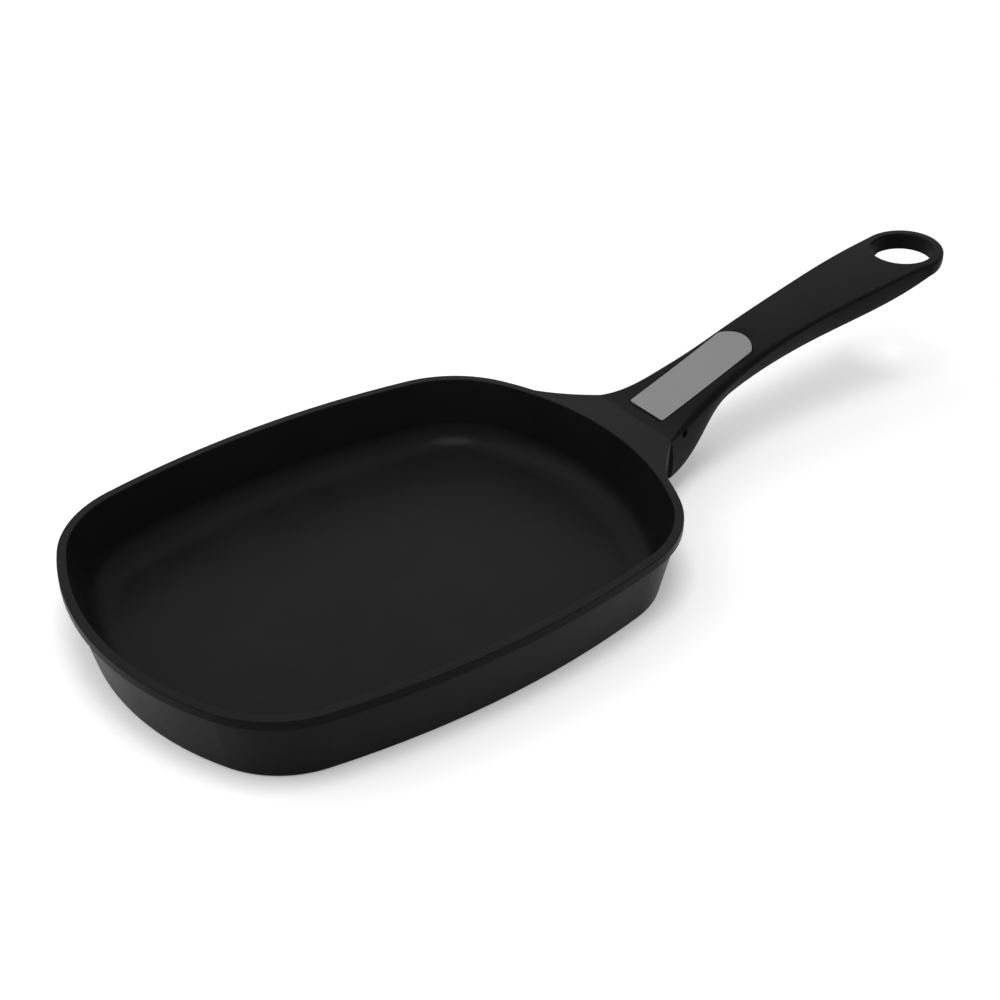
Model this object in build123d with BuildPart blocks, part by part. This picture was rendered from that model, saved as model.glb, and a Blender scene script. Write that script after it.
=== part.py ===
"""Rectangular cast frying pan with a detachable handle held by a lever-driven clamp.

Millimetres, +Z up. The origin is the centre of the flat underside, and +X runs towards the handle.
A flat steel tongue on the pan's lug slides into a channel frame inside the handle. The flush steel
lever on top turns on a cross pin, and its cam presses a shoe down on the tongue.
"""

import os
from math import atan2, cos, degrees, hypot, radians, sin

from build123d import *

# Pan
PAN_LENGTH = 270.0
PAN_WIDTH = 203.0
PAN_HEIGHT = 36.0
LONG_SIDE_BOW_RADIUS = 424.0
SHORT_SIDE_BOW_RADIUS = 142.0
CORNER_RADIUS = 54.0
RIM_WIDTH = 4.1
LIP_HEIGHT = 4.2
LIP_OVERHANG = 2.0
WALL = 3.4
FLOOR = 4.5
BASE_INSET = 8.9
FLOOR_FILLET = 14.0
BASE_FILLET = 1.5
RIM_FILLET = 0.5

# Lug on the short side: its flank runs through (distance past the pan's end, half-width) points
LUG_REACH = 13.5
LUG_FLANK = [(-15, 58.6), (-5.6, 44.8), (3.2, 35.2), (13.5, 26.5)]
LUG_DEPTH = 22.5
LUG_DRAFT = 1.5

# Tongue bolted into the lug's face
TONGUE_WIDTH = 23.6
TONGUE_THICKNESS = 6.0
TONGUE_LENGTH = 15.5
TONGUE_DEPTH = 10.0
TONGUE_NOSE_CHAMFER = 1.2
FOOT_WIDTH = 43.0
FOOT_HEIGHT = 13.0
FOOT_THICKNESS = 3.0
FOOT_CORNER = 2.5
TONGUE_SCREW_SPACING = 33.0
TONGUE_SCREW_DIAMETER = 4.0
TONGUE_SCREW_LENGTH = 9.0

# Countersunk socket screws, as shares of the thread diameter
HEAD_RATIO = 1.8
SOCKET_RATIO = 0.62
SOCKET_DEPTH_RATIO = 0.4

# Grip: each table lists (distance from its front face, value), and heights are from the rim
HANDLE_GAP = 0.05
TOP_HEIGHTS = [(0, 0), (10, 1.3), (20, 4.3), (44, 12.2), (67, 18.6), (106, 26.5), (149, 32.6), (180, 35.1)]
BOTTOM_HEIGHTS = [(0, -23), (18, -22.4), (27, -16.6), (40, -5), (52, 0.6), (67, 4.6), (106, 11.2),
                  (180, 26.7)]
TOP_HALF_WIDTHS = [(0, 26.5), (10, 23.5), (20, 21), (44, 18), (67, 16.6), (106, 17.4), (149, 20), (180, 21.1)]
BOTTOM_HALF_WIDTHS = [
    (0, 25.9), (10, 21.8), (27, 16.9), (44, 12.8), (67, 11.6), (106, 12.2), (149, 16.5), (180, 20),
]
GRIP_STATIONS = [0, 9, 18, 27, 38, 52, 70, 92, 118, 148, 180]
GRIP_CROWNS = [0.05, 0.3, 0.6, 0.8, 0.9, 0.9, 0.9, 0.9, 0.9, 0.9, 0.9]
GRIP_SIDE_BULGE = 0.6
GRIP_BELLY = 1.5
CREASE_FILLETS = [1, 2.5, 3.6, 4, 4, 3.6, 2.6, 1.8, 1.6, 1.6, 1.6]
BELLY_FILLET = 3.5
CHEEK_CUT_TOP = 2.0
CHEEK_CUT_IN = 1.9
CHEEK_CUT_BACK = 3.2
CHEEK_CUT_DROP = 22.0
EYE_TILT = 5.0
EYE_BORE_RADIUS = 15.9
EYE_FILLET = 0.8

# Hat-section frame inside the grip
SHEET = 2.0
SLIDE_CLEARANCE = 0.15
SEAT_CLEARANCE = 0.2
FRAME_SETBACK = 0.4
FRAME_BEND = 2.2
FRAME_NOSE_TOP = -2.2
FRAME_PIN_TOP = 0.5
FRAME_REAR_TOP = -3.0
FLANGE_HALF_WIDTH = 19.2
FLANGE_SETBACK = 1.5
FLANGE_LENGTH = 7.4
SCREW_DIAMETER = 3.0
FRAME_SCREW_LENGTH = 9.0
FRAME_SCREW_SPACING = 33.4
INSERT_WALL = 0.8
INSERT_LENGTH = 6.0
INSERT_CLEARANCE = 0.05
COVER_SCREW_SPACING = 17.0
COVER_SCREW_SETBACK = 15.5
COVER_SCREW_LENGTH = 6.2
COVER_CLEARANCE = 0.1
NOSE_CLEARANCE = 0.6

# Lever, its pin and cam
PIN_SETBACK = 11.7
PIN_DIAMETER = 4.0
PIN_CLEARANCE = 0.06
PIN_FRAME_CLEARANCE = 0.1
PIN_SEAT_CLEARANCE = 0.02
PIN_HALF_LENGTH = 19.5
LEVER_WIDTH = 23.4
LEVER_SHEET = 1.8
LEVER_SETBACK = 7.1
LEVER_LENGTH = 61.8
LEVER_FRONT_HEIGHT = 1.05
LEVER_RISE = 20.7
LEVER_SAG = 0.4
LEVER_END_BULGE = 5.6
LEVER_REAR_CORNER = 1.6
LEVER_FRONT_CORNER = 1.2
LEVER_GAP = 0.45
LEVER_FRONT_GAP = 1.2
LEVER_REAR_GAP = 0.7
LEVER_SWING_GAP = 0.4
EAR_SHEET = 1.8
EAR_RADIUS = 3.1
EAR_REACH = 9.0
CAM_BASE_RADIUS = 3.1
CAM_LOBE_RADIUS = 1.2
CAM_REACH = 4.0
CAM_SIDE_GAP = 0.2
CAM_UNDER_PLATE = 0.4
DOWEL_DIAMETER = 2.2
DOWEL_ALONG = 6.0
DOWEL_RISE = 2.4
PAD_LENGTH = 7.0
PAD_WIDTH = 14.0
PAD_THICKNESS = 1.0
PAD_CLEARANCE = 0.1
PAD_SETBACK = 46.0
THUMB_RADIUS = 54.0
THUMB_DEPTH = 1.2
THUMB_LEAD = 3.3
THUMB_SPAN = 10.0

# Shoe under the cam and the springs that lift it
SHOE_THICKNESS = 3.2
SHOE_CLEARANCE = 0.1
CAM_CLEARANCE = 0.15
SHOE_LIFT = 0.6
SHOE_SETBACK = 1.8
TAB_REACH = 1.6
TAB_LENGTH = 4.0
TAB_SETBACK = 3.6
SPRING_DIAMETER = 4.4
SPRING_WIRE = 0.6
SPRING_TURNS = 4.5
SPRING_SPACING = 12.0
SPRING_CLEARANCE = 0.35

# Levels and stations that the pieces share
RIM_Z = PAN_HEIGHT
LUG_FACE_X = PAN_LENGTH / 2 + LUG_REACH
GRIP_X = LUG_FACE_X + HANDLE_GAP
EYE_X = GRIP_X + TOP_HEIGHTS[-1][0]
TONGUE_TOP = RIM_Z - TONGUE_DEPTH
TONGUE_MIDDLE = TONGUE_TOP - TONGUE_THICKNESS / 2
TONGUE_BOTTOM = TONGUE_TOP - TONGUE_THICKNESS
TONGUE_END_X = LUG_FACE_X + TONGUE_LENGTH
SHOE_BOTTOM = TONGUE_TOP + SHOE_CLEARANCE
SHOE_TOP = SHOE_BOTTOM + SHOE_THICKNESS
PIN_X = GRIP_X + PIN_SETBACK
PIN_Z = SHOE_TOP + CAM_CLEARANCE + CAM_REACH
CHANNEL_HALF = TONGUE_WIDTH / 2 + SLIDE_CLEARANCE
FRAME_HALF = CHANNEL_HALF + SHEET
FRAME_FLOOR = TONGUE_BOTTOM - SLIDE_CLEARANCE
FRAME_BOTTOM = FRAME_FLOOR - SHEET
FRAME_FRONT_X = GRIP_X + FRAME_SETBACK
SPRING_X = TONGUE_END_X + SPRING_CLEARANCE + SPRING_DIAMETER / 2
FRAME_INNER_X = SPRING_X + SPRING_DIAMETER / 2 + SPRING_CLEARANCE + SLIDE_CLEARANCE
FRAME_REAR_X = FRAME_INNER_X + SHEET
FLANGE_X = GRIP_X + FLANGE_SETBACK
SHOE_X = GRIP_X + SHOE_SETBACK
TAB_X = GRIP_X + TAB_SETBACK
LEVER_X = GRIP_X + LEVER_SETBACK
LEVER_Z = RIM_Z + LEVER_FRONT_HEIGHT
LEVER_SWING = hypot(PIN_X - LEVER_X, LEVER_Z - PIN_Z) + LEVER_SWING_GAP

os.makedirs("parts", exist_ok=True)


def save(piece, name):
    """Labels a finished piece and writes its file."""
    piece.label = name
    export_step(piece, "parts/" + name + ".step")


def side_plane(y=0.0):
    """A vertical plane along the handle, with its own X along the handle and its own Y up."""
    return Plane(origin=(0, y, 0), x_dir=(1, 0, 0), z_dir=(0, -1, 0))


def cross_plane(x, z=0.0):
    """A vertical plane across the handle, with its own X across and its own Y up."""
    return Plane(origin=(x, 0, z), x_dir=(0, 1, 0), z_dir=(1, 0, 0))


def bowed_outline(inset):
    """Draws the pan's outline, drawn in by inset: four bowed sides joined by tangent corner arcs."""
    long_centre = PAN_WIDTH / 2 - LONG_SIDE_BOW_RADIUS
    short_centre = PAN_LENGTH / 2 - SHORT_SIDE_BOW_RADIUS
    long_reach = LONG_SIDE_BOW_RADIUS - CORNER_RADIUS
    short_reach = SHORT_SIDE_BOW_RADIUS - CORNER_RADIUS
    span = hypot(long_centre, short_centre)
    along = (long_reach**2 - short_reach**2 + span**2) / (2 * span)
    across = (long_reach**2 - along**2) ** 0.5
    unit_x, unit_y = short_centre / span, -long_centre / span
    corner_x = unit_x * along + unit_y * across
    corner_y = long_centre + unit_y * along - unit_x * across
    short_turn = degrees(atan2(corner_y, corner_x - short_centre))
    long_turn = degrees(atan2(corner_y - long_centre, corner_x))
    corner_radius = CORNER_RADIUS - inset
    short_radius = SHORT_SIDE_BOW_RADIUS - inset
    long_radius = LONG_SIDE_BOW_RADIUS - inset
    corner_sweep = long_turn - short_turn
    CenterArc((short_centre, 0), short_radius, -short_turn, 2 * short_turn)
    CenterArc((corner_x, corner_y), corner_radius, short_turn, corner_sweep)
    CenterArc((0, long_centre), long_radius, long_turn, 180 - 2 * long_turn)
    CenterArc((-corner_x, corner_y), corner_radius, 180 - long_turn, corner_sweep)
    CenterArc((-short_centre, 0), short_radius, 180 - short_turn, 2 * short_turn)
    CenterArc((-corner_x, -corner_y), corner_radius, 180 + short_turn, corner_sweep)
    CenterArc((0, -long_centre), long_radius, 180 + long_turn, 180 - 2 * long_turn)
    CenterArc((corner_x, -corner_y), corner_radius, -long_turn, corner_sweep)


def outline_sketch(inset, height):
    """The pan's outline as a sketch at a height."""
    with BuildSketch(Plane.XY.offset(height)) as sketch:
        with BuildLine():
            bowed_outline(inset)
        make_face()
    return sketch.sketch


def lug_sketch(height, draft):
    """The lug's plan at a height: hollow flanks that sweep out of the rim to its flat face."""
    flank = [(PAN_LENGTH / 2 + past, half - draft) for past, half in LUG_FLANK]
    mirrored = [(x, -y) for x, y in flank]
    with BuildSketch(Plane.XY.offset(height)) as sketch:
        with BuildLine():
            Spline(*flank)
            Line(flank[-1], mirrored[-1])
            Spline(*mirrored)
            Polyline(flank[0], (0, flank[0][1]), (0, mirrored[0][1]), mirrored[0])
        make_face()
    return sketch.sketch


def cavity():
    """The space inside the pan: drafted walls with a wide fillet onto the floor."""
    with BuildPart() as space:
        loft([outline_sketch(BASE_INSET + WALL, FLOOR), outline_sketch(RIM_WIDTH, RIM_Z)], ruled=True)
        fillet(space.edges().group_by(Axis.Z)[0], FLOOR_FILLET)
    return space.part


def countersunk_screw(plane, diameter, length):
    """A countersunk socket screw whose head is flush with the plane and whose thread runs behind it."""
    head = diameter * HEAD_RATIO
    socket = diameter * SOCKET_RATIO
    with BuildPart(plane) as screw:
        Cylinder(diameter / 2, length, align=(Align.CENTER, Align.CENTER, Align.MAX))
        Cone(diameter / 2, head / 2, (head - diameter) / 2, align=(Align.CENTER, Align.CENTER, Align.MAX))
        with BuildSketch(plane):
            RegularPolygon(socket / 2, 6)
        extrude(amount=-diameter * SOCKET_DEPTH_RATIO, mode=Mode.SUBTRACT)
    return screw.part


def screw_hole(plane, diameter, length):
    """The space that a countersunk screw fills, with its seat clearance."""
    head = diameter * HEAD_RATIO + 2 * SEAT_CLEARANCE
    bore = diameter + SEAT_CLEARANCE
    with BuildPart(plane) as hole:
        Cylinder(bore / 2, length + SEAT_CLEARANCE, align=(Align.CENTER, Align.CENTER, Align.MAX))
        Cone(bore / 2, head / 2, (head - bore) / 2, align=(Align.CENTER, Align.CENTER, Align.MAX))
        Cylinder(head / 2, diameter / 2, align=(Align.CENTER, Align.CENTER, Align.MIN))
    return hole.part


# Pan casting: drafted bowl with a stepped lip and a lug whose top is level with the rim
tongue_seats = [
    cross_plane(LUG_FACE_X, TONGUE_MIDDLE) * Plane(origin=(side * TONGUE_SCREW_SPACING / 2, 0, 0))
    for side in (-1, 1)
]
with BuildPart() as foot_space:
    with BuildSketch(cross_plane(LUG_FACE_X, TONGUE_MIDDLE)):
        RectangleRounded(FOOT_WIDTH + 2 * SEAT_CLEARANCE, FOOT_HEIGHT + 2 * SEAT_CLEARANCE, FOOT_CORNER)
    extrude(amount=-FOOT_THICKNESS)

with BuildPart() as pan_casting:
    loft([outline_sketch(BASE_INSET, 0), outline_sketch(LIP_OVERHANG, RIM_Z - LIP_HEIGHT)], ruled=True)
    fillet(pan_casting.edges().group_by(Axis.Z)[0], BASE_FILLET)
    extrude(outline_sketch(0, RIM_Z - LIP_HEIGHT), amount=LIP_HEIGHT)
    loft([lug_sketch(RIM_Z - LUG_DEPTH, LUG_DRAFT), lug_sketch(RIM_Z, 0)], ruled=True)
    add(cavity(), mode=Mode.SUBTRACT)
    rim_edges = pan_casting.edges().group_by(Axis.Z)[-1]
    fillet([edge for edge in rim_edges if edge.center().X < LUG_FACE_X - RIM_FILLET], RIM_FILLET)
    add(foot_space.part, mode=Mode.SUBTRACT)
    for seat in tongue_seats:
        add(screw_hole(seat, TONGUE_SCREW_DIAMETER, TONGUE_SCREW_LENGTH), mode=Mode.SUBTRACT)
save(pan_casting.part, "pan_casting")

# Tongue: a flat bar standing on a rectangular foot that fills the recess in the lug's face
with BuildPart() as tongue:
    with BuildSketch(cross_plane(LUG_FACE_X, TONGUE_MIDDLE)):
        RectangleRounded(FOOT_WIDTH, FOOT_HEIGHT, FOOT_CORNER)
    extrude(amount=-FOOT_THICKNESS)
    with BuildSketch(cross_plane(LUG_FACE_X, TONGUE_MIDDLE)):
        Rectangle(TONGUE_WIDTH, TONGUE_THICKNESS)
    extrude(amount=TONGUE_LENGTH)
    chamfer(tongue.faces().sort_by(Axis.X)[-1].edges(), TONGUE_NOSE_CHAMFER)
    for seat in tongue_seats:
        add(screw_hole(seat, TONGUE_SCREW_DIAMETER, TONGUE_SCREW_LENGTH), mode=Mode.SUBTRACT)
save(tongue.part, "tongue")

with BuildPart() as tongue_screws:
    for seat in tongue_seats:
        add(countersunk_screw(seat, TONGUE_SCREW_DIAMETER, TONGUE_SCREW_LENGTH))
save(tongue_screws.part, "tongue_screws")


def value_at(line, distance):
    """Reads a guide line's value at a distance along the handle."""
    low, high = 0.0, 1.0
    for _ in range(30):
        middle = (low + high) / 2
        if (line @ middle).X < distance:
            low = middle
        else:
            high = middle
    return (line @ low).Y


top_line = Spline(*TOP_HEIGHTS)
bottom_line = Spline(*BOTTOM_HEIGHTS)
top_half_line = Spline(*TOP_HALF_WIDTHS)
bottom_half_line = Spline(*BOTTOM_HALF_WIDTHS)


def grip_plane(distance):
    """The plane of the grip's cross-section at a distance; the last one leans with the eye."""
    middle = (value_at(top_line, distance) + value_at(bottom_line, distance)) / 2
    lean = radians(EYE_TILT) if distance == GRIP_STATIONS[-1] else 0
    origin = (GRIP_X + distance, 0, RIM_Z + middle)
    return Plane(origin=origin, x_dir=(0, 1, 0), z_dir=(cos(lean), 0, sin(lean)))


def grip_section(distance):
    """The grip's cross-section: crowned top, creased sides and rounded belly."""
    rise = (value_at(top_line, distance) - value_at(bottom_line, distance)) / 2
    top = value_at(top_half_line, distance)
    bottom = value_at(bottom_half_line, distance)
    side = (top + bottom) / 2 + GRIP_SIDE_BULGE
    station = GRIP_STATIONS.index(distance)
    with BuildSketch(grip_plane(distance)) as sketch:
        with BuildLine():
            ThreePointArc((-top, rise), (0, rise + GRIP_CROWNS[station]), (top, rise))
            ThreePointArc((top, rise), (side, 0), (bottom, -rise))
            ThreePointArc((bottom, -rise), (0, -rise - GRIP_BELLY), (-bottom, -rise))
            ThreePointArc((-bottom, -rise), (-side, 0), (-top, rise))
        make_face()
        fillet(sketch.vertices().sort_by(Axis.Y)[-2:], CREASE_FILLETS[station])
        fillet(sketch.vertices().sort_by(Axis.Y)[:2], BELLY_FILLET)
    return sketch.sketch


# Outer shape of the grip, ending in a round eye whose axis leans back towards the pan
eye_plane = grip_plane(GRIP_STATIONS[-1])
with BuildPart() as outer_grip:
    loft([grip_section(d) for d in GRIP_STATIONS])
    with BuildSketch(eye_plane):
        add(eye_plane.to_local_coords(grip_section(GRIP_STATIONS[-1])))
        Rectangle(2 * PAN_WIDTH, PAN_WIDTH, align=(Align.MIN, Align.CENTER), mode=Mode.SUBTRACT)
    revolve(axis=Axis(eye_plane.origin, eye_plane.y_dir), revolution_arc=180)
    with BuildSketch(Plane(origin=eye_plane.origin, z_dir=eye_plane.y_dir)):
        Circle(EYE_BORE_RADIUS)
    extrude(amount=PAN_HEIGHT, both=True, mode=Mode.SUBTRACT)
    bore_edges = outer_grip.faces().filter_by(GeomType.CYLINDER).edges()
    fillet(bore_edges.filter_by(GeomType.LINE, reverse=True), EYE_FILLET)
    for side in (-1, 1):
        corner = Vector(GRIP_X, side * TOP_HALF_WIDTHS[0][1], RIM_Z - CHEEK_CUT_TOP)
        half = BOTTOM_HALF_WIDTHS[0][1]
        low = RIM_Z - CHEEK_CUT_DROP
        front = Vector(GRIP_X, side * (half - CHEEK_CUT_IN), low) - corner
        flank = Vector(GRIP_X + CHEEK_CUT_BACK, side * (half - CHEEK_CUT_IN / 2), low) - corner
        with BuildSketch(Plane(origin=corner, z_dir=flank.cross(front) * side)):
            Rectangle(PAN_HEIGHT * 2, PAN_HEIGHT * 2)
        extrude(amount=PAN_HEIGHT / 4, mode=Mode.SUBTRACT)


def lever_profile(x_from, x_to, above, below):
    """The side view of a band that follows the lever plate's top, from a height above to one below."""
    with BuildSketch(side_plane()) as sketch:
        with BuildLine():
            ends = []
            for offset in (above, -below):
                points = []
                for x in (x_from, (x_from + x_to) / 2, x_to):
                    share = (x - LEVER_X) / LEVER_LENGTH
                    sag = 4 * LEVER_SAG * share * (1 - share)
                    points.append((x, LEVER_Z + LEVER_RISE * share - sag + offset))
                ThreePointArc(*points)
                ends.append(points)
            Line(ends[0][0], ends[1][0])
            Line(ends[0][2], ends[1][2])
        make_face()
    return sketch.sketch


def lever_plan(grow, front, rear):
    """The plate's plan: rounded front corners and a bowed rear end, grown by the given gaps."""
    half = LEVER_WIDTH / 2 + grow
    shoulder = LEVER_X + LEVER_LENGTH - LEVER_END_BULGE + rear
    with BuildSketch(Plane.XY) as sketch:
        with BuildLine():
            Polyline((shoulder, half), (LEVER_X - front, half), (LEVER_X - front, -half), (shoulder, -half))
            ThreePointArc((shoulder, -half), (shoulder + LEVER_END_BULGE, 0), (shoulder, half))
        make_face()
        fillet(sketch.vertices().sort_by(Axis.X)[:2], LEVER_FRONT_CORNER)
        fillet(sketch.vertices().sort_by(Axis.X)[-2:], LEVER_REAR_CORNER)
    return sketch.sketch


def plate_body(above, below, grow, front, rear):
    """The lever plate's volume, or the pocket round it when it is grown."""
    with BuildPart() as body:
        profile = lever_profile(GRIP_X, LEVER_X + LEVER_LENGTH + THUMB_SPAN, above, below)
        extrude(profile, amount=PAN_WIDTH / 4, both=True)
        extrude(lever_plan(grow, front, rear), amount=PAN_WIDTH, mode=Mode.INTERSECT)
    return body.part


def wall_profile(grow):
    """The side view of the frame's side walls, grown all round by a clearance."""
    front, rear = FRAME_FRONT_X - grow, FRAME_REAR_X + grow
    low = FRAME_BOTTOM - grow
    nose, crest, tail = (RIM_Z + level + grow for level in (FRAME_NOSE_TOP, FRAME_PIN_TOP, FRAME_REAR_TOP))
    shoulder = PIN_DIAMETER
    with BuildSketch(side_plane()) as sketch:
        with BuildLine():
            Polyline((front, low), (front, nose), (PIN_X - shoulder, crest), (PIN_X + shoulder, crest),
                     (rear, tail), (rear, low + FRAME_BEND), (rear - FRAME_BEND, low), close=True)
        make_face()
    return sketch.sketch


def cover_plan(grow):
    """The plan of the underside opening: wide at the flanges, narrower behind them."""
    rear, step = FRAME_REAR_X + SEAT_CLEARANCE + grow, FLANGE_X + FLANGE_LENGTH + SEAT_CLEARANCE + grow
    wide, narrow = FLANGE_HALF_WIDTH + SEAT_CLEARANCE + grow, FRAME_HALF + SEAT_CLEARANCE + grow
    with BuildSketch(Plane.XY) as sketch:
        Polygon((GRIP_X - grow, wide), (step, wide), (step + wide - narrow, narrow), (rear, narrow),
                (rear, -narrow), (step + wide - narrow, -narrow), (step, -wide), (GRIP_X - grow, -wide),
                align=None)
    return sketch.sketch


def flange_box(grow, top):
    """The frame's two flanges as one block across the handle."""
    with BuildPart() as block:
        with BuildSketch(Plane.XY.offset(FRAME_BOTTOM - grow)):
            with Locations((FLANGE_X - grow, 0)):
                Rectangle(FLANGE_LENGTH + 2 * grow, 2 * (FLANGE_HALF_WIDTH + grow),
                          align=(Align.MIN, Align.CENTER))
        extrude(amount=top - FRAME_BOTTOM + grow)
    return block.part


def across(radius, half_length):
    """A rod along the lever's pin, centred on the handle."""
    with BuildPart() as rod:
        with BuildSketch(side_plane()):
            with Locations((PIN_X, PIN_Z)):
                Circle(radius)
        extrude(amount=half_length, both=True)
    return rod.part


flange_middle = FLANGE_X + FLANGE_LENGTH / 2
frame_seats = [
    Plane(origin=(flange_middle, side * FRAME_SCREW_SPACING / 2, FRAME_BOTTOM), z_dir=(0, 0, -1))
    for side in (-1, 1)
]
cover_seat_z = RIM_Z + value_at(bottom_line, COVER_SCREW_SETBACK) - GRIP_BELLY / 2
cover_seat_x = GRIP_X + COVER_SCREW_SETBACK
cover_seats = [
    Plane(origin=(cover_seat_x, side * COVER_SCREW_SPACING / 2, cover_seat_z), z_dir=(0, 0, -1))
    for side in (-1, 1)
]
cover_top = FRAME_BOTTOM - COVER_CLEARANCE
shoe_ceiling = SHOE_TOP + SHOE_LIFT + NOSE_CLEARANCE
pocket_depth = LEVER_SHEET + PAD_CLEARANCE + PAD_THICKNESS
ear_inner = LEVER_WIDTH / 2 - EAR_SHEET

# Room for the cam and the lever's ears, between the shoe and the lever's pocket
with BuildPart() as cam_well:
    with BuildSketch(side_plane()):
        with Locations((PIN_X, PIN_Z)):
            Circle(LEVER_SWING)
        with Locations((PIN_X, SHOE_TOP)):
            Rectangle(EAR_REACH + LEVER_GAP, LEVER_Z + EAR_SHEET - SHOE_TOP, align=(Align.MIN, Align.MIN))
    extrude(amount=LEVER_WIDTH / 2 + LEVER_GAP, both=True)

# Room for the frame and the tongue: two wall slots joined by a channel that stops under the nose
with BuildPart() as frame_space:
    with BuildSketch(side_plane()):
        add(side_plane().to_local_coords(wall_profile(SEAT_CLEARANCE)))
        with Locations((GRIP_X, RIM_Z)):
            Rectangle(2 * (HANDLE_GAP + FRAME_SETBACK), RIM_Z - FRAME_BOTTOM, align=(Align.CENTER, Align.MAX))
    extrude(amount=FRAME_HALF + SEAT_CLEARANCE, both=True)
    with BuildSketch(side_plane()):
        with Locations((GRIP_X, shoe_ceiling)):
            Rectangle(2 * (FRAME_INNER_X - SEAT_CLEARANCE - GRIP_X), PAN_HEIGHT,
                      align=(Align.CENTER, Align.MIN))
    extrude(amount=CHANNEL_HALF - SEAT_CLEARANCE, both=True, mode=Mode.SUBTRACT)
    add(flange_box(SEAT_CLEARANCE, FRAME_FLOOR + SEAT_CLEARANCE / 2))
    extrude(cover_plan(0), amount=cover_top + COVER_CLEARANCE / 2)

# Shallow dish round the plate's end, square to the sloping top, where a thumb gets under the plate
with BuildPart() as thumb_dish:
    dish_along = LEVER_X + LEVER_LENGTH - THUMB_LEAD - GRIP_X
    dish_level = value_at(top_line, dish_along)
    slope = atan2(value_at(top_line, dish_along + THUMB_SPAN) - dish_level, THUMB_SPAN)
    reach = THUMB_RADIUS - THUMB_DEPTH
    centre_x = GRIP_X + dish_along - reach * sin(slope)
    centre_z = RIM_Z + dish_level + GRIP_CROWNS[-1] + reach * cos(slope)
    with Locations((centre_x, 0, centre_z)):
        Sphere(THUMB_RADIUS)

# Grip: the outer shape less the frame's room, the lever's pocket and the pin and screw holes
with BuildPart() as grip:
    add(outer_grip.part)
    add(frame_space.part, mode=Mode.SUBTRACT)
    add(cam_well.part, mode=Mode.SUBTRACT)
    add(plate_body(PAN_HEIGHT, pocket_depth, LEVER_GAP, LEVER_FRONT_GAP, LEVER_REAR_GAP), mode=Mode.SUBTRACT)
    add(thumb_dish.part, mode=Mode.SUBTRACT)
    add(across(PIN_DIAMETER / 2 + PIN_SEAT_CLEARANCE, PAN_WIDTH / 4), mode=Mode.SUBTRACT)
    for seat in frame_seats:
        with BuildSketch(seat):
            Circle(SCREW_DIAMETER / 2 + INSERT_WALL)
        extrude(amount=-SHEET - INSERT_LENGTH, mode=Mode.SUBTRACT)
        with BuildSketch(seat):
            Circle(SCREW_DIAMETER / 2 + INSERT_CLEARANCE)
        extrude(amount=-FRAME_SCREW_LENGTH - SEAT_CLEARANCE, mode=Mode.SUBTRACT)
save(grip.part, "grip")

with BuildPart() as underside_cover:
    add(outer_grip.part)
    extrude(cover_plan(-COVER_CLEARANCE), amount=cover_top, mode=Mode.INTERSECT)
    for seat in cover_seats:
        add(screw_hole(seat, SCREW_DIAMETER, COVER_SCREW_LENGTH), mode=Mode.SUBTRACT)
save(underside_cover.part, "underside_cover")

# Frame: a channel with a closed rear and two screwed flanges, slotted for the shoe's tabs
with BuildPart() as clamp_frame:
    extrude(wall_profile(0), amount=FRAME_HALF, both=True)
    with BuildSketch(side_plane()):
        with Locations((FRAME_INNER_X, FRAME_FLOOR)):
            Rectangle(PAN_WIDTH, PAN_HEIGHT, align=(Align.MAX, Align.MIN))
    extrude(amount=CHANNEL_HALF, both=True, mode=Mode.SUBTRACT)
    add(flange_box(0, FRAME_FLOOR))
    add(across(PIN_DIAMETER / 2 + PIN_FRAME_CLEARANCE, PAN_WIDTH / 4), mode=Mode.SUBTRACT)
    with BuildSketch(side_plane()):
        with Locations((TAB_X - SLIDE_CLEARANCE, SHOE_BOTTOM - SLIDE_CLEARANCE)):
            Rectangle(TAB_LENGTH + 2 * SLIDE_CLEARANCE, SHOE_THICKNESS + SHOE_LIFT + 3 * SLIDE_CLEARANCE,
                      align=(Align.MIN, Align.MIN))
    extrude(amount=PAN_WIDTH / 4, both=True, mode=Mode.SUBTRACT)
    for seat in frame_seats:
        add(screw_hole(seat, SCREW_DIAMETER, FRAME_SCREW_LENGTH), mode=Mode.SUBTRACT)
    for seat in cover_seats:
        with BuildSketch(seat):
            Circle(SCREW_DIAMETER / 2 + INSERT_CLEARANCE)
        extrude(amount=-PAN_HEIGHT / 4, mode=Mode.SUBTRACT)
save(clamp_frame.part, "clamp_frame")

with BuildPart() as frame_screws:
    for seat in frame_seats:
        add(countersunk_screw(seat, SCREW_DIAMETER, FRAME_SCREW_LENGTH))
save(frame_screws.part, "frame_screws")

with BuildPart() as screw_inserts:
    for seat in frame_seats:
        with BuildSketch(seat.offset(-SHEET - SEAT_CLEARANCE / 2)):
            Circle(SCREW_DIAMETER / 2 + INSERT_WALL)
            Circle(SCREW_DIAMETER / 2 + INSERT_CLEARANCE, mode=Mode.SUBTRACT)
        extrude(amount=SEAT_CLEARANCE / 2 - INSERT_LENGTH)
save(screw_inserts.part, "screw_inserts")

with BuildPart() as cover_screws:
    for seat in cover_seats:
        add(countersunk_screw(seat, SCREW_DIAMETER, COVER_SCREW_LENGTH))
save(cover_screws.part, "cover_screws")

with BuildPart() as lever_pin:
    add(across(PIN_DIAMETER / 2, PIN_HALF_LENGTH))
save(lever_pin.part, "lever_pin")

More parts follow.
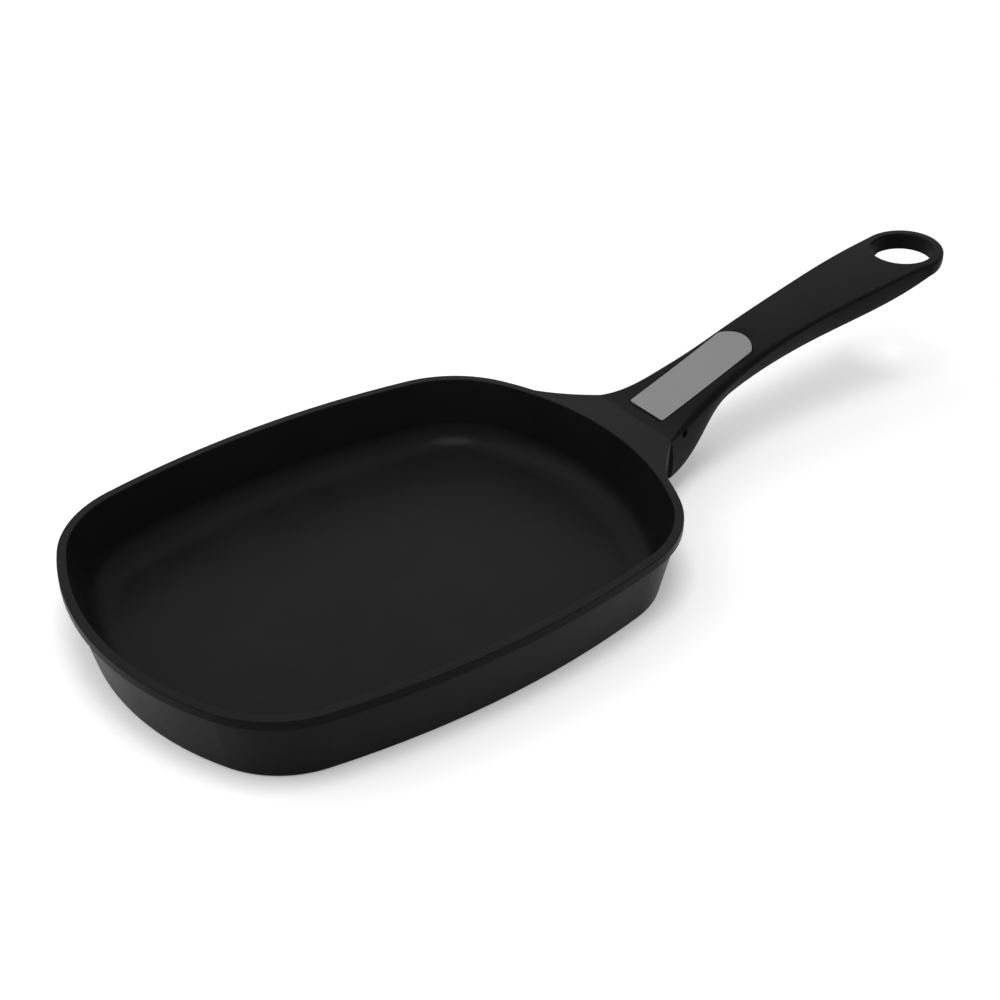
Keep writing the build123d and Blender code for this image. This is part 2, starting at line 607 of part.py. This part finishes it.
# Lever: one pressing, with the plate on top and an ear folded down each side of the cam
with BuildPart() as lever_plate:
    add(plate_body(0, LEVER_SHEET, 0, 0, 0))
    for y in (LEVER_WIDTH / 2, -ear_inner):
        with BuildSketch(side_plane(y)):
            with Locations((PIN_X, PIN_Z)):
                Circle(EAR_RADIUS)
                Polygon((-EAR_RADIUS / 2, 0), (0, -EAR_RADIUS), (EAR_REACH, DOWEL_RISE - EAR_RADIUS / 2),
                        (EAR_REACH, PAN_HEIGHT), (-EAR_RADIUS / 2, PAN_HEIGHT), align=None)
            above_plate = lever_profile(0, EYE_X, PAN_HEIGHT, LEVER_SHEET / 2)
            add(side_plane().to_local_coords(above_plate), mode=Mode.SUBTRACT)
        extrude(amount=EAR_SHEET)
    add(across(PIN_DIAMETER / 2 + PIN_CLEARANCE, PAN_WIDTH / 4), mode=Mode.SUBTRACT)
    with BuildSketch(side_plane()):
        with Locations((PIN_X + DOWEL_ALONG, PIN_Z + DOWEL_RISE)):
            Circle(DOWEL_DIAMETER / 2)
    extrude(amount=PAN_WIDTH / 4, both=True, mode=Mode.SUBTRACT)
save(lever_plate.part, "lever_plate")

# Cam: its lobe is lowest with the lever shut
with BuildPart() as lever_cam:
    with BuildSketch(side_plane()):
        with Locations((PIN_X, PIN_Z)):
            Circle(CAM_BASE_RADIUS)
            with Locations((0, CAM_LOBE_RADIUS - CAM_REACH)):
                Circle(CAM_LOBE_RADIUS)
        make_hull()
        with Locations((PIN_X, PIN_Z)):
            Polygon((-EAR_RADIUS / 2, 0), (CAM_LOBE_RADIUS, -EAR_RADIUS / 2),
                    (EAR_REACH, DOWEL_RISE - EAR_RADIUS / 2), (EAR_REACH, PAN_HEIGHT),
                    (-EAR_RADIUS / 2, PAN_HEIGHT), align=None)
        add(side_plane().to_local_coords(lever_profile(0, EYE_X, PAN_HEIGHT, LEVER_SHEET + CAM_UNDER_PLATE)),
            mode=Mode.SUBTRACT)
    extrude(amount=ear_inner - CAM_SIDE_GAP, both=True)
    add(across(PIN_DIAMETER / 2 + PIN_CLEARANCE, PAN_WIDTH / 4), mode=Mode.SUBTRACT)
    with BuildSketch(side_plane()):
        with Locations((PIN_X + DOWEL_ALONG, PIN_Z + DOWEL_RISE)):
            Circle(DOWEL_DIAMETER / 2)
    extrude(amount=PAN_WIDTH / 4, both=True, mode=Mode.SUBTRACT)
save(lever_cam.part, "lever_cam")

with BuildPart() as cam_dowel:
    with BuildSketch(side_plane()):
        with Locations((PIN_X + DOWEL_ALONG, PIN_Z + DOWEL_RISE)):
            Circle(DOWEL_DIAMETER / 2)
    extrude(amount=LEVER_WIDTH / 2, both=True)
save(cam_dowel.part, "cam_dowel")

# Rest pad glued in the pocket under the lever
with BuildPart() as lever_pad:
    pad_x = LEVER_X + PAD_SETBACK
    pad_top = LEVER_SHEET + PAD_CLEARANCE
    extrude(lever_profile(pad_x, pad_x + PAD_LENGTH, -pad_top, pad_top + PAD_THICKNESS),
            amount=PAD_WIDTH / 2, both=True)
save(lever_pad.part, "lever_pad")

# Shoe: a flat block with a tab each side, long enough to reach over the springs
with BuildPart() as clamp_shoe:
    shoe_half = CHANNEL_HALF - SLIDE_CLEARANCE
    with BuildSketch(Plane.XY.offset(SHOE_BOTTOM)):
        with Locations((SHOE_X, 0)):
            Rectangle(FRAME_INNER_X - SLIDE_CLEARANCE - SHOE_X, 2 * shoe_half,
                      align=(Align.MIN, Align.CENTER))
        with Locations((TAB_X, 0)):
            Rectangle(TAB_LENGTH, 2 * (shoe_half + TAB_REACH), align=(Align.MIN, Align.CENTER))
    extrude(amount=SHOE_THICKNESS)
save(clamp_shoe.part, "clamp_shoe")

# Two coil springs standing on the frame's floor under the shoe's rear end
with BuildPart() as shoe_springs:
    for side in (-1, 1):
        foot = (SPRING_X, side * SPRING_SPACING / 2, FRAME_FLOOR + SPRING_WIRE / 2)
        coil_height = SHOE_BOTTOM - FRAME_FLOOR - SPRING_WIRE
        coil_radius = (SPRING_DIAMETER - SPRING_WIRE) / 2
        with BuildLine(Plane(origin=foot)) as coil:
            Helix(coil_height / SPRING_TURNS, coil_height, coil_radius)
        with BuildSketch(Plane(origin=coil.line @ 0, z_dir=coil.line % 0)):
            Circle(SPRING_WIRE / 2)
        sweep(path=coil.line)
save(shoe_springs.part, "shoe_springs")
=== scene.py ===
"""Frying pan with a detachable handle: finishes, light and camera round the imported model.

Metres, +Z up. The origin is the centre of the pan's underside, and +X runs towards the handle.
"""
from math import cos, radians, sin

import bpy
from mathutils import Matrix, Vector

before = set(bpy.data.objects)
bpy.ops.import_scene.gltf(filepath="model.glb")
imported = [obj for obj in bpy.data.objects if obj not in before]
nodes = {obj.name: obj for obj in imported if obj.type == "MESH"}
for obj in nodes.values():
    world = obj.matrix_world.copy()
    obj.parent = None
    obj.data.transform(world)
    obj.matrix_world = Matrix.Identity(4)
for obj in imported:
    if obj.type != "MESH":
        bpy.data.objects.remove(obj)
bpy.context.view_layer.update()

# Camera: fitted to the pan's outline. The shifts move it sideways and up, square to its view
CAMERA_LENS = 63.70
SENSOR_WIDTH = 36
CAMERA_AZIMUTH = -37.134
CAMERA_ELEVATION = 34.085
CAMERA_DISTANCE = 0.78911
CAMERA_SHIFT_RIGHT = 0.05434
CAMERA_SHIFT_UP = 0.04052
CLIP_NEAR, CLIP_FAR = 0.01, 20

# Floor: how pale it is to bouncing light, the shaded share that the camera sees, and its glow near and far
FLOOR_HALF_SIZE = 4.0
FLOOR_ALBEDO = 0.3
FLOOR_SHADED = 0.84
FLOOR_GLOW = 0.24
FAR_GLOW = 0.80
GLOW_RISES_FROM, GLOW_RISES_TO = 0.5, 2.5

# Light: a white sky, dimmer as a lamp than as a background, and two square softboxes
WHITE = (1, 1, 1, 1)
WORLD_STRENGTH = 0.5
SEEN_STRENGTH = 1
LIGHT_TARGET = Vector((0.1, 0, 0))
SOFTBOXES = {
    "key": {"place": (-1.1, 1.0, 1.6), "size": 1.6, "watts": 12},
    "top": {"place": (-0.2, -0.3, 1.9), "size": 0.8, "watts": 17},
}

# Finishes: the darker and lighter ends of each base colour, and of each roughness
# The coating's second colour pair is painted shade: a darker copy of the coating for its upright walls
COATING_LEVEL, COATING_WALLS_PAINTED_SHADE, COATING_ROUGHNESS = (0.0084, 0.0100), (0.0050, 0.0060), (0.32, 0.38)
# The grip's second colour pair is painted shade: a darker copy of the grip for its flanks
GRIP_TOP, GRIP_FLANKS_PAINTED_SHADE, GRIP_ROUGHNESS = (0.0094, 0.0112), (0.0040, 0.0050), (0.44, 0.52)
PLATE_COLOR, PLATE_ROUGHNESS = (0.19, 0.24), (0.38, 0.44)
STEEL_COLOR, STEEL_ROUGHNESS = (0.42, 0.52), (0.30, 0.38)
SCREW_COLOR, SCREW_ROUGHNESS = (0.32, 0.40), (0.27, 0.37)
BRASS_COLOR, BRASS_ROUGHNESS = ((0.62, 0.45, 0.18), (0.72, 0.54, 0.26)), (0.25, 0.35)
RUBBER_COLOR, RUBBER_ROUGHNESS = (0.012, 0.018), (0.65, 0.75)
CAM_COLOR, CAM_ROUGHNESS = (0.06, 0.08), (0.40, 0.50)

# How far upright faces stand from the middle, times their lean, where their painted shade is full
WALL_SHADE_FULL = 0.09
FLANK_SHADE_FULL = 0.012


def make_camera():
    """Looks straight along the fitted direction, beside and above the origin."""
    azimuth, elevation = radians(CAMERA_AZIMUTH), radians(CAMERA_ELEVATION)
    back = Vector((sin(azimuth) * cos(elevation), -cos(azimuth) * cos(elevation), sin(elevation)))
    right = (-back).cross(Vector((0, 0, 1))).normalized()
    up = right.cross(-back)
    data = bpy.data.cameras.new("camera")
    data.lens = CAMERA_LENS
    data.sensor_width = SENSOR_WIDTH
    data.clip_start, data.clip_end = CLIP_NEAR, CLIP_FAR
    camera = bpy.data.objects.new("camera", data)
    bpy.context.collection.objects.link(camera)
    turn = Matrix((right, up, back)).transposed().to_4x4()
    place = back * CAMERA_DISTANCE + right * CAMERA_SHIFT_RIGHT + up * CAMERA_SHIFT_UP
    camera.matrix_world = Matrix.Translation(place) @ turn
    bpy.context.scene.camera = camera


make_camera()
bpy.context.scene.view_settings.view_transform = "Standard"


class Graph:
    """A node tree with short calls that add its nodes and links."""

    def __init__(self, tree):
        self.tree = tree

    def node(self, kind, **settings):
        made = self.tree.nodes.new(kind)
        for key, value in settings.items():
            setattr(made, key, value)
        return made

    def link(self, source, target):
        self.tree.links.new(source, target)

    def seen_directly(self):
        """1 where a camera, glossy or transmitted ray arrives, and 0 for light that bounces."""
        path = self.node("ShaderNodeLightPath")
        total = path.outputs["Is Camera Ray"]
        for name in ("Is Glossy Ray", "Is Transmission Ray"):
            either = self.node("ShaderNodeMath", operation="MAXIMUM")
            self.link(total, either.inputs[0])
            self.link(path.outputs[name], either.inputs[1])
            total = either.outputs[0]
        return total


class Material(Graph):
    """A node material with short calls for the nodes that its finish is built from."""

    def __init__(self, name, **settings):
        self.material = bpy.data.materials.new(name)
        self.material.use_nodes = True
        super().__init__(self.material.node_tree)
        self.shader = self.tree.nodes["Principled BSDF"]
        for key, value in settings.items():
            self.shader.inputs[key.replace("_", " ")].default_value = value
        self.place = self.tree.nodes.new("ShaderNodeTexCoord").outputs["Object"]

    def stretched(self, scale):
        """The place on the object, with each axis multiplied."""
        mapping = self.node("ShaderNodeMapping")
        mapping.inputs["Scale"].default_value = scale
        self.link(self.place, mapping.inputs["Vector"])
        return mapping.outputs["Vector"]

    def noise(self, scale, detail, roughness=0.55, vector=None):
        made = self.node("ShaderNodeTexNoise")
        made.inputs["Scale"].default_value = scale
        made.inputs["Detail"].default_value = detail
        made.inputs["Roughness"].default_value = roughness
        self.link(vector or self.place, made.inputs["Vector"])
        return made.outputs["Fac"]

    def shades(self, factor, colors, edges=(0.3, 0.7)):
        """Two greys or colours, blended where the factor runs between the edges."""
        made = self.node("ShaderNodeValToRGB")
        for element, position, value in zip(made.color_ramp.elements, edges, colors):
            element.position = position
            element.color = (*value, 1) if isinstance(value, tuple) else (value, value, value, 1)
        self.link(factor, made.inputs["Fac"])
        return made.outputs["Color"]

    def range(self, factor, ends, edges=(0.3, 0.7)):
        """A number that runs between its two ends while the factor runs between the edges."""
        made = self.node("ShaderNodeMapRange")
        made.inputs["From Min"].default_value, made.inputs["From Max"].default_value = edges
        made.inputs["To Min"].default_value, made.inputs["To Max"].default_value = ends
        self.link(factor, made.inputs["Value"])
        return made.outputs["Result"]

    def bump(self, height, strength, distance):
        made = self.node("ShaderNodeBump")
        made.inputs["Strength"].default_value = strength
        made.inputs["Distance"].default_value = distance
        self.link(height, made.inputs["Height"])
        return made.outputs["Normal"]

    def painted_shade_share(self, axes, full):
        """Rises from 0 to 1 where the surface faces to or from the object's middle along the given axes: the
        share of painted shade.
        """
        dot = self.node("ShaderNodeVectorMath", operation="DOT_PRODUCT")
        self.link(self.node("ShaderNodeNewGeometry").outputs["Normal"], dot.inputs[0])
        self.link(self.stretched(axes), dot.inputs[1])
        size = self.node("ShaderNodeMath", operation="ABSOLUTE")
        self.link(dot.outputs["Value"], size.inputs[0])
        return self.range(size.outputs[0], (0, 1), (0, full))

    def blend(self, share, first, second):
        made = self.node("ShaderNodeMix", data_type="RGBA")
        self.link(share, made.inputs["Factor"])
        self.link(first, made.inputs["A"])
        self.link(second, made.inputs["B"])
        return made.outputs["Result"]

    def finish(self, color, roughness, normal):
        self.link(color, self.shader.inputs["Base Color"])
        self.link(roughness, self.shader.inputs["Roughness"])
        self.link(normal, self.shader.inputs["Normal"])
        return self.material


def coating_material():
    """Black non-stick coating: a fine sprayed texture with faint mottling, and painted shade that darkens
    its upright faces.
    """
    m = Material("nonstick_coating", Specular_IOR_Level=0.045)
    mottle = m.noise(scale=38, detail=3)
    speck = m.noise(scale=2600, detail=2)
    level = m.shades(mottle, COATING_LEVEL)
    walls_painted_shade = m.shades(mottle, COATING_WALLS_PAINTED_SHADE)
    # Painted shade: upright walls, inside and out, take a darker copy of the coating's colour
    color = m.blend(m.painted_shade_share((1, 1, 0), WALL_SHADE_FULL), level, walls_painted_shade)
    rough = m.range(mottle, COATING_ROUGHNESS)
    return m.finish(color, rough, m.bump(speck, strength=0.10, distance=0.00008))


def grip_material():
    """Moulded phenolic with a fine matte grain, and painted shade that darkens its flanks."""
    m = Material("moulded_phenolic", Specular_IOR_Level=0.03)
    cloud = m.noise(scale=30, detail=3)
    grain = m.noise(scale=3400, detail=2)
    top = m.shades(cloud, GRIP_TOP)
    flanks_painted_shade = m.shades(cloud, GRIP_FLANKS_PAINTED_SHADE)
    # Painted shade: the grip's flanks take a darker copy of its colour
    color = m.blend(m.painted_shade_share((0, 1, 0), FLANK_SHADE_FULL), top, flanks_painted_shade)
    rough = m.range(cloud, GRIP_ROUGHNESS)
    return m.finish(color, rough, m.bump(grain, strength=0.12, distance=0.00006))


def brushed_material(name, colors, roughness):
    """Satin steel with fine lines along X."""
    m = Material(name, Metallic=1.0)
    lines = m.noise(scale=90, detail=5, roughness=0.7, vector=m.stretched((2, 90, 90)))
    cloud = m.noise(scale=25, detail=2)
    color = m.shades(lines, colors, edges=(0.25, 0.75))
    rough = m.range(cloud, roughness)
    return m.finish(color, rough, m.bump(lines, strength=0.08, distance=0.00003))


def plain_material(name, colors, roughness, metallic=0.0):
    """A small piece's finish: faint colour variation and a fine grain."""
    m = Material(name, Metallic=metallic)
    cloud = m.noise(scale=60, detail=3)
    color = m.shades(cloud, colors)
    rough = m.range(cloud, roughness)
    grain = m.noise(scale=2500, detail=2)
    return m.finish(color, rough, m.bump(grain, strength=0.1, distance=0.00004))


COATING = coating_material()
GRIP = grip_material()
PLATE = brushed_material("satin_plate", PLATE_COLOR, PLATE_ROUGHNESS)
STEEL = brushed_material("brushed_steel", STEEL_COLOR, STEEL_ROUGHNESS)
SCREW = plain_material("screw_steel", SCREW_COLOR, SCREW_ROUGHNESS, metallic=1.0)
BRASS = plain_material("brass", BRASS_COLOR, BRASS_ROUGHNESS, metallic=1.0)
RUBBER = plain_material("rubber", RUBBER_COLOR, RUBBER_ROUGHNESS)
CAM = plain_material("cam_plastic", CAM_COLOR, CAM_ROUGHNESS)

FINISH = {
    "pan_casting": COATING, "tongue": STEEL, "tongue_screws": SCREW, "grip": GRIP, "clamp_frame": STEEL,
    "frame_screws": SCREW, "screw_inserts": BRASS, "underside_cover": GRIP, "cover_screws": SCREW,
    "lever_pin": SCREW, "lever_pad": RUBBER, "lever_plate": PLATE, "lever_cam": CAM, "cam_dowel": STEEL,
    "clamp_shoe": STEEL, "shoe_springs": SCREW,
}
for name, node in nodes.items():
    node.data.materials.clear()
    node.data.materials.append(FINISH[name])


def floor_material():
    """Pale paper. Seen directly, part of it glows, so that it reads as white and its shadows stay soft."""
    m = Material("floor_paper")
    m.tree.nodes.remove(m.shader)
    paper = m.node("ShaderNodeBsdfDiffuse")
    shaded = m.node("ShaderNodeBsdfDiffuse")
    glow = m.node("ShaderNodeEmission")
    paper.inputs["Color"].default_value = (FLOOR_ALBEDO,) * 3 + (1,)
    shaded.inputs["Color"].default_value = (FLOOR_SHADED,) * 3 + (1,)
    distance = m.node("ShaderNodeVectorMath", operation="LENGTH")
    m.link(m.place, distance.inputs[0])
    strength = m.range(distance.outputs["Value"], (FLOOR_GLOW, FAR_GLOW), (GLOW_RISES_FROM, GLOW_RISES_TO))
    m.link(strength, glow.inputs["Strength"])
    both = m.node("ShaderNodeAddShader")
    m.link(shaded.outputs[0], both.inputs[0])
    m.link(glow.outputs[0], both.inputs[1])
    mix = m.node("ShaderNodeMixShader")
    m.link(m.seen_directly(), mix.inputs[0])
    m.link(paper.outputs[0], mix.inputs[1])
    m.link(both.outputs[0], mix.inputs[2])
    m.link(mix.outputs[0], m.tree.nodes["Material Output"].inputs["Surface"])
    return m.material


def make_floor():
    """A pale floor that looks white to the camera and in reflections, and keeps the object's shadow."""
    half = FLOOR_HALF_SIZE
    corners = [(-half, -half, 0), (half, -half, 0), (half, half, 0), (-half, half, 0)]
    mesh = bpy.data.meshes.new("floor")
    mesh.from_pydata(corners, [], [(0, 1, 2, 3)])
    floor = bpy.data.objects.new("floor", mesh)
    bpy.context.collection.objects.link(floor)
    mesh.materials.append(floor_material())


def make_sky():
    """A white world that lights the object softly and looks fully white to the camera and in reflections."""
    world = bpy.data.worlds.new("studio")
    bpy.context.scene.world = world
    world.use_nodes = True
    sky = Graph(world.node_tree)
    strength = sky.node("ShaderNodeMapRange")
    strength.inputs["To Min"].default_value = WORLD_STRENGTH
    strength.inputs["To Max"].default_value = SEEN_STRENGTH
    sky.link(sky.seen_directly(), strength.inputs["Value"])
    background = world.node_tree.nodes["Background"]
    background.inputs["Color"].default_value = WHITE
    sky.link(strength.outputs["Result"], background.inputs["Strength"])


def make_softbox(name, place, size, watts):
    """A square area lamp that faces the middle of the object."""
    data = bpy.data.lights.new(name, "AREA")
    data.energy = watts
    data.size = size
    lamp = bpy.data.objects.new(name, data)
    bpy.context.collection.objects.link(lamp)
    lamp.location = place
    lamp.rotation_mode = "QUATERNION"
    lamp.rotation_quaternion = (LIGHT_TARGET - Vector(place)).to_track_quat("-Z", "Y")


make_floor()
make_sky()
for name, settings in SOFTBOXES.items():
    make_softbox(name, **settings)
